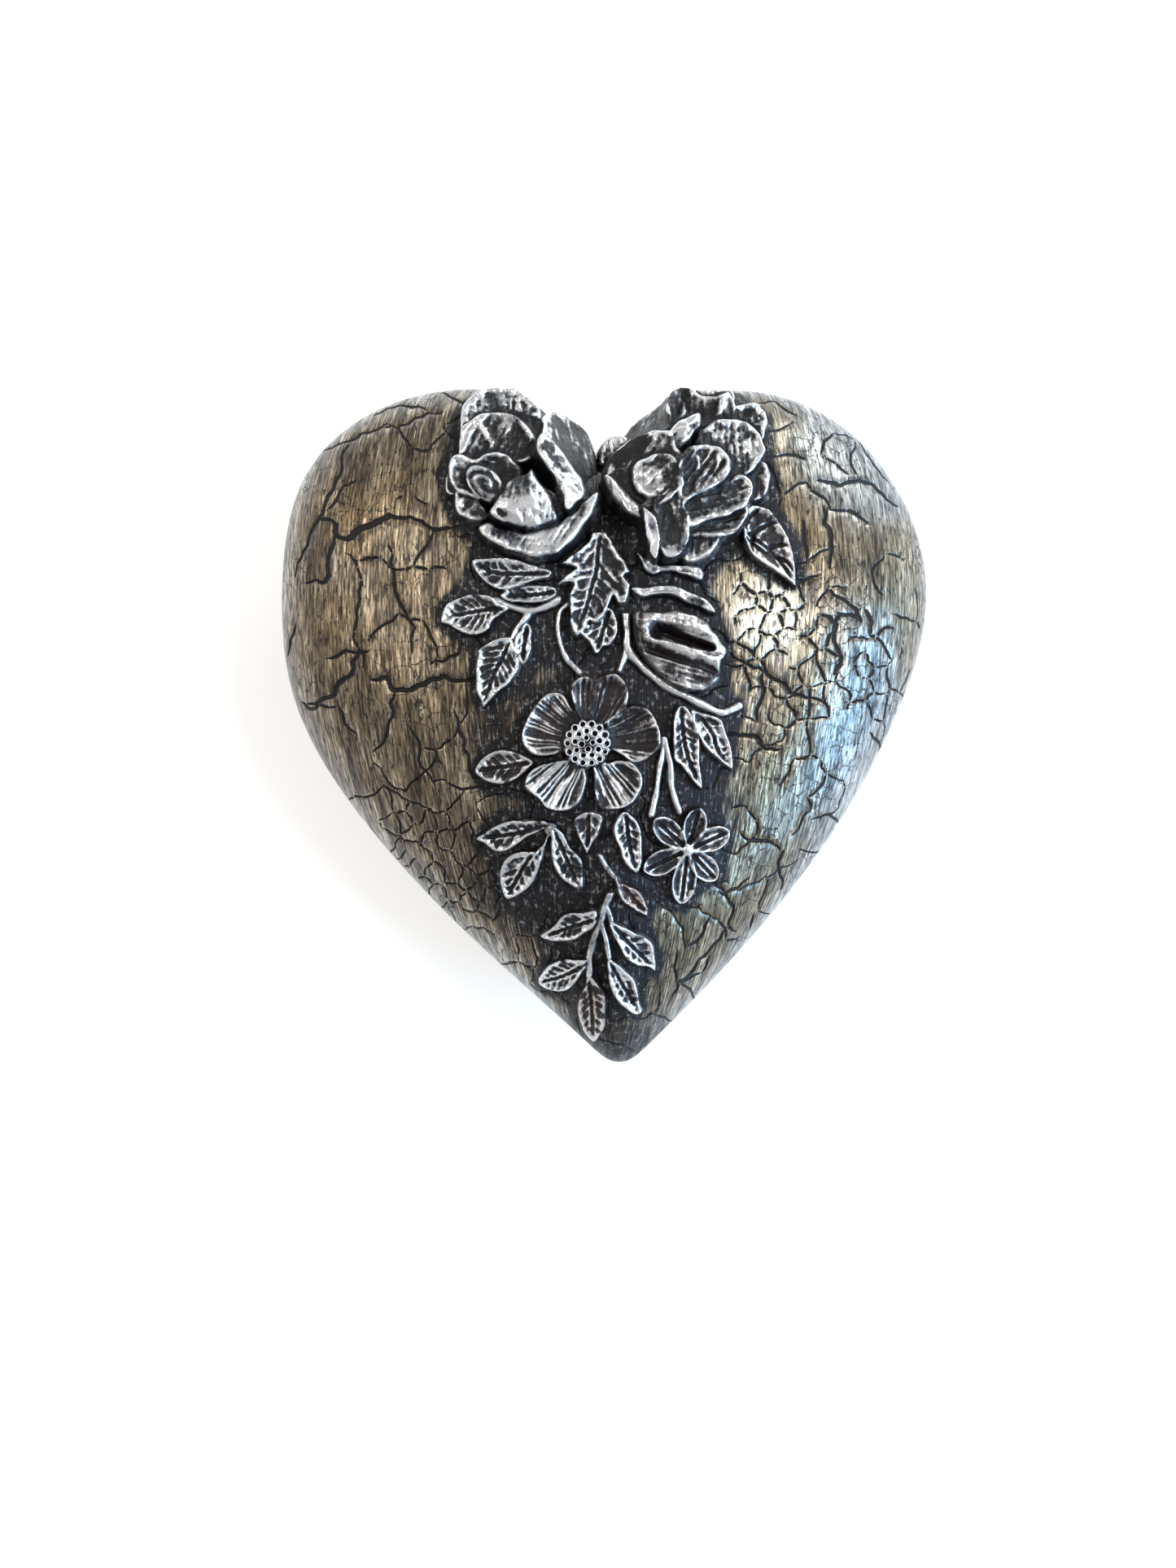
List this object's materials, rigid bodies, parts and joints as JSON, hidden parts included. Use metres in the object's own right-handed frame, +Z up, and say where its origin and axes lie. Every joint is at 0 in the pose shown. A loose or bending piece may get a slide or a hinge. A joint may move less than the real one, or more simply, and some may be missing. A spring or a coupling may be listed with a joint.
{
  "type": "heart-shaped trinket box",
  "caption": "Heart-shaped trinket box with a domed lift-off lid carrying cast roses, flowers and leaves, and a padded hollow base.",
  "frame": {"origin": "middle of the felt foot's underside, where the box stands on a table", "axes": "+Z up, -Y towards the heart's tip, +X towards the right lobe seen from above with the tip towards the viewer"},
  "size_m": [0.1497, 0.1565, 0.063],
  "materials": {
    "aged_bronze_paint": "satin",
    "bare_resin": "matt",
    "silvered_relief": "satin",
    "black_velvet": "pile",
    "black_felt": "matt"
  },
  "bodies": {
    "base": {"base_felt": "black_felt", "base_shell": "aged_bronze_paint", "base_collar": "bare_resin", "floor_pad": "black_velvet"},
    "lid": {"lid_shell": "aged_bronze_paint", "rose_left": "silvered_relief", "rose_right": "silvered_relief", "large_flower": "silvered_relief", "folded_pod": "silvered_relief", "centre_leaf": "silvered_relief", "small_flower": "silvered_relief", "wavy_calyx": "silvered_relief", "rose_leaf_right": "silvered_relief", "leaf_spray_left_upper": "silvered_relief", "stem_right_long": "silvered_relief", "leaf_spray_left_lower": "silvered_relief", "stem_left_arc": "silvered_relief", "leaf_beside_flower": "silvered_relief", "stem_fork": "silvered_relief", "leaf_left_of_flower": "silvered_relief", "leaf_trio_left": "silvered_relief", "leaf_right_lower": "silvered_relief", "leaf_under_flower": "silvered_relief", "leaf_drop": "silvered_relief", "bottom_sprig": "silvered_relief"}
  },
  "joints": [
    {"name": "lid_lift", "type": "slide", "parent": "base", "child": "lid", "axis": [0, 0, 1], "range_m": [0, 0.09]}
  ]
}
